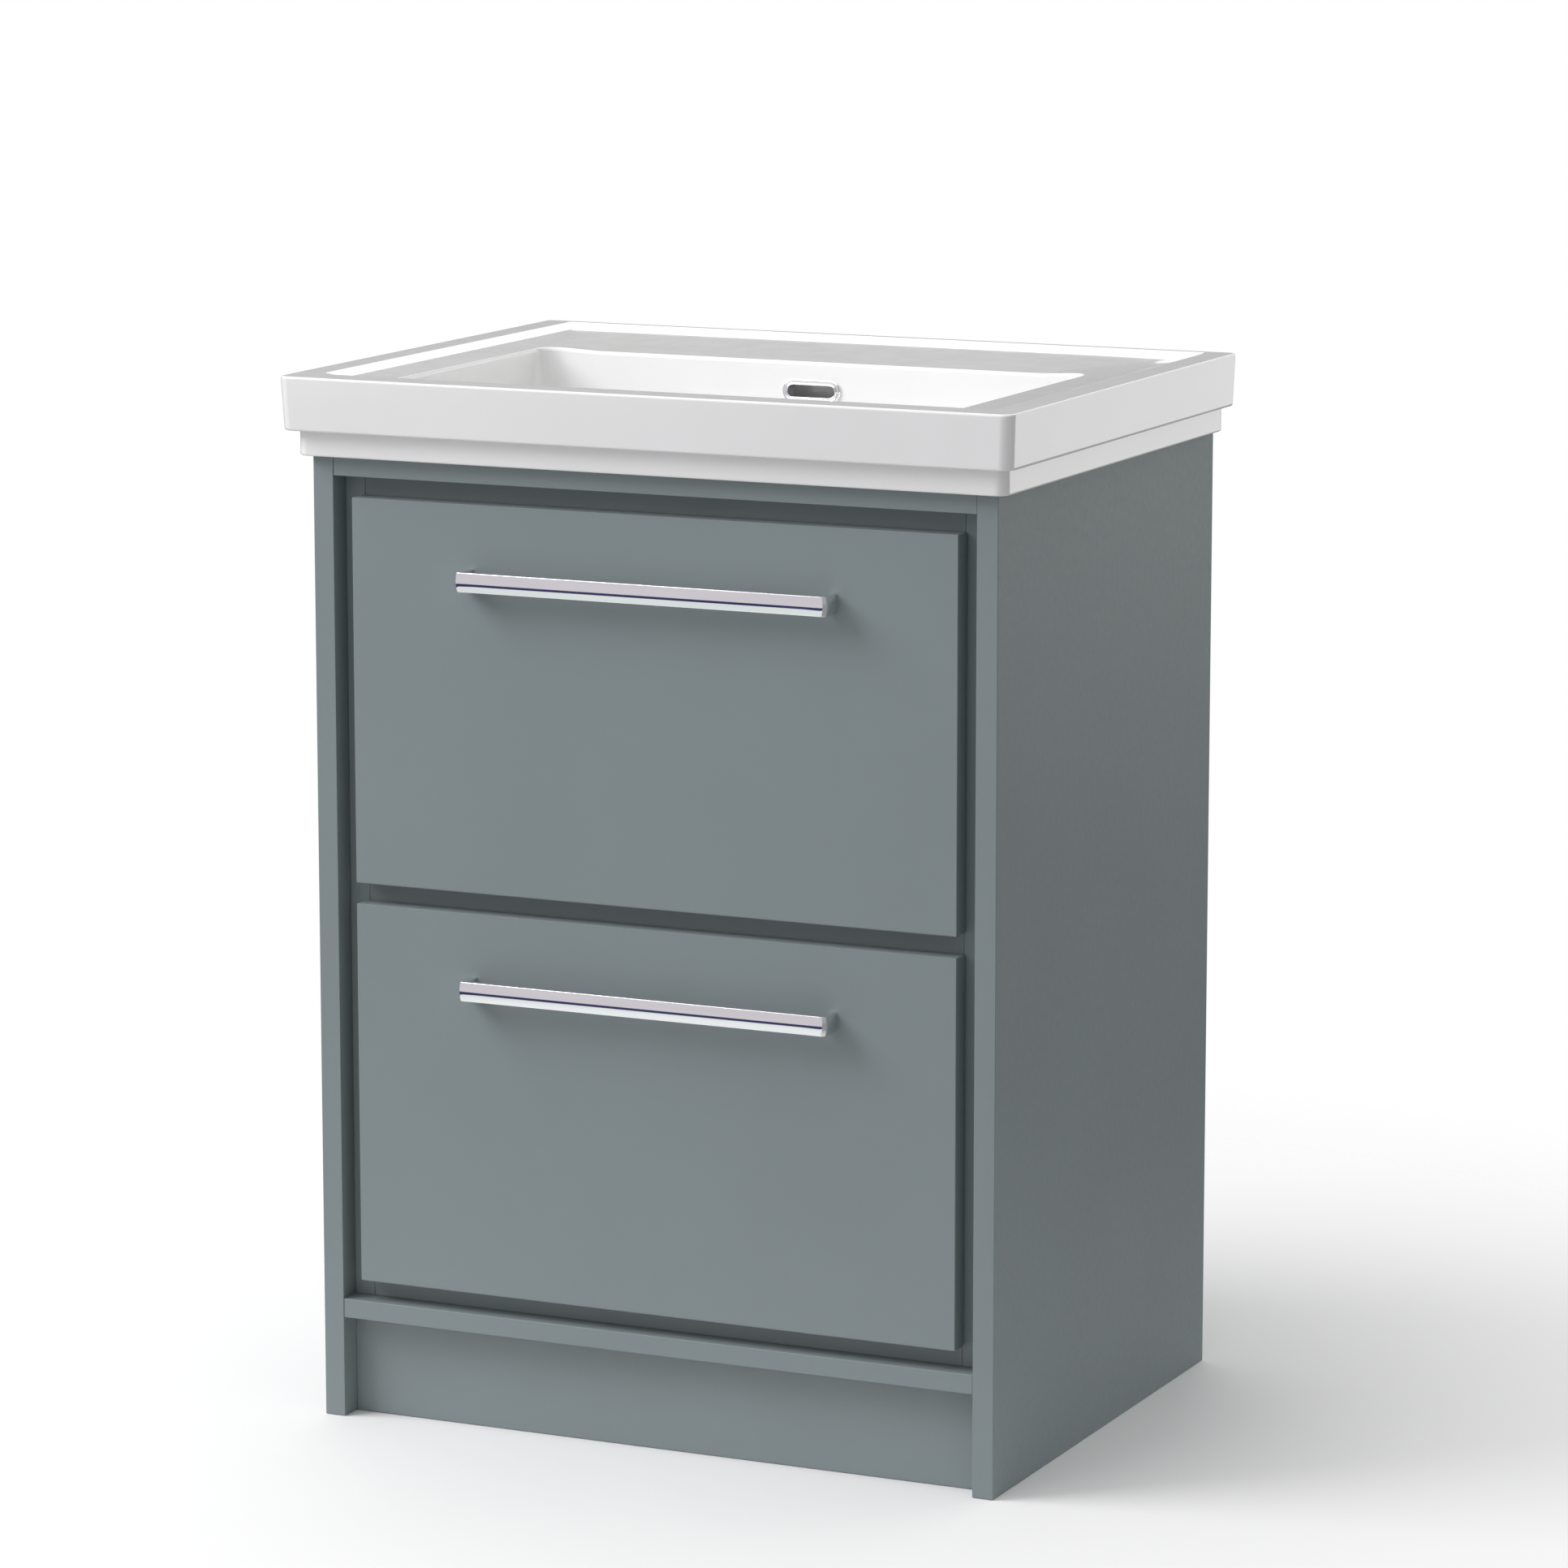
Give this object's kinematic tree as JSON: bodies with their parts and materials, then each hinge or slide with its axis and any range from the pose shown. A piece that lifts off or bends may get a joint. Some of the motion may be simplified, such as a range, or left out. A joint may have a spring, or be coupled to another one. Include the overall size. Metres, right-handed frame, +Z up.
{
  "type": "bathroom vanity cabinet",
  "caption": "Floor-standing bathroom vanity cabinet with wide bow-handled drawers on telescopic runners under a rectangular ceramic basin.",
  "frame": {"origin": "on the floor, below the middle of the overall width and depth", "axes": "+Z up, +Y towards the wall, drawers open towards -Y, +X to the right seen from the front"},
  "size_m": [0.64, 0.483, 0.865],
  "materials": {
    "paint": "satin grey-green painted board",
    "ceramic": "glossy white glaze",
    "chrome": "polished chrome plate",
    "zinc": "zinc-plated steel",
    "bearing_steel": "bright steel",
    "melamine": "matt light grey melamine-faced board",
    "moulding": "matt grey moulding",
    "birch": "bare fluted birch",
    "pad": "soft clear pad"
  },
  "bodies": {
    "cabinet": {"end_panel_left": "paint", "end_panel_right": "paint", "carcass_side_left": "paint", "carcass_side_right": "paint", "carcass_base": "paint", "plinth_front": "paint", "plinth_back": "paint", "trim_rail_top": "paint", "trim_rail_bottom": "paint", "cross_rail_top": "paint", "cross_rail_middle": "paint", "wall_rail": "paint", "rear_rail_bottom": "paint", "back_panel": "paint", "basin": "ceramic", "overflow_ring": "chrome", "end_panel_screws": "zinc", "trim_screws": "zinc", "runner_screws_carcass": "zinc", "runner_outer_lower_left": "zinc", "runner_outer_lower_right": "zinc", "runner_outer_upper_left": "zinc", "runner_outer_upper_right": "zinc", "carcass_dowels": "birch"},
    "lower_drawer": {"lower_drawer_front": "paint", "lower_handle": "chrome", "lower_handle_screws": "zinc", "lower_box_screws": "zinc", "lower_inner_front": "melamine", "lower_side_left": "melamine", "lower_side_right": "melamine", "lower_back": "melamine", "lower_bottom": "melamine", "lower_box_dowels": "birch", "lower_stop_pads": "pad", "runner_inner_lower_left": "zinc", "runner_inner_lower_right": "zinc"},
    "lower_runner_middles": {"runner_middle_lower_left": "zinc", "runner_middle_lower_right": "zinc"},
    "lower_outer_cages": {"outer_ball_cages_lower": "bearing_steel"},
    "lower_inner_cages": {"inner_ball_cages_lower": "bearing_steel"},
    "upper_drawer": {"upper_drawer_front": "paint", "upper_handle": "chrome", "upper_handle_screws": "zinc", "upper_box_screws": "zinc", "upper_inner_front": "melamine", "upper_side_left": "melamine", "upper_side_right": "melamine", "upper_backs": "melamine", "upper_bottom": "melamine", "upper_trap_recess": "moulding", "upper_box_dowels": "birch", "upper_stop_pads": "pad", "runner_inner_upper_left": "zinc", "runner_inner_upper_right": "zinc"},
    "upper_runner_middles": {"runner_middle_upper_left": "zinc", "runner_middle_upper_right": "zinc"},
    "upper_outer_cages": {"outer_ball_cages_upper": "bearing_steel"},
    "upper_inner_cages": {"inner_ball_cages_upper": "bearing_steel"}
  },
  "joints": [
    {"name": "lower_drawer_slide", "type": "slide", "parent": "cabinet", "child": "lower_drawer", "axis": [0, -1, 0], "range_m": [0, 0.38]},
    {"name": "lower_runner_middles_slide", "type": "slide", "parent": "cabinet", "child": "lower_runner_middles", "axis": [0, -1, 0], "range_m": [0, 0.19]},
    {"name": "lower_outer_cages_slide", "type": "slide", "parent": "cabinet", "child": "lower_outer_cages", "axis": [0, -1, 0], "range_m": [0, 0.095]},
    {"name": "lower_inner_cages_slide", "type": "slide", "parent": "cabinet", "child": "lower_inner_cages", "axis": [0, -1, 0], "range_m": [0, 0.285]},
    {"name": "upper_drawer_slide", "type": "slide", "parent": "cabinet", "child": "upper_drawer", "axis": [0, -1, 0], "range_m": [0, 0.38]},
    {"name": "upper_runner_middles_slide", "type": "slide", "parent": "cabinet", "child": "upper_runner_middles", "axis": [0, -1, 0], "range_m": [0, 0.19]},
    {"name": "upper_outer_cages_slide", "type": "slide", "parent": "cabinet", "child": "upper_outer_cages", "axis": [0, -1, 0], "range_m": [0, 0.095]},
    {"name": "upper_inner_cages_slide", "type": "slide", "parent": "cabinet", "child": "upper_inner_cages", "axis": [0, -1, 0], "range_m": [0, 0.285]}
  ],
  "couplings": [
    {"joint": "lower_runner_middles_slide", "follows": "lower_drawer_slide", "ratio": 0.5},
    {"joint": "lower_outer_cages_slide", "follows": "lower_drawer_slide", "ratio": 0.25},
    {"joint": "lower_inner_cages_slide", "follows": "lower_drawer_slide", "ratio": 0.75},
    {"joint": "upper_runner_middles_slide", "follows": "upper_drawer_slide", "ratio": 0.5},
    {"joint": "upper_outer_cages_slide", "follows": "upper_drawer_slide", "ratio": 0.25},
    {"joint": "upper_inner_cages_slide", "follows": "upper_drawer_slide", "ratio": 0.75}
  ]
}
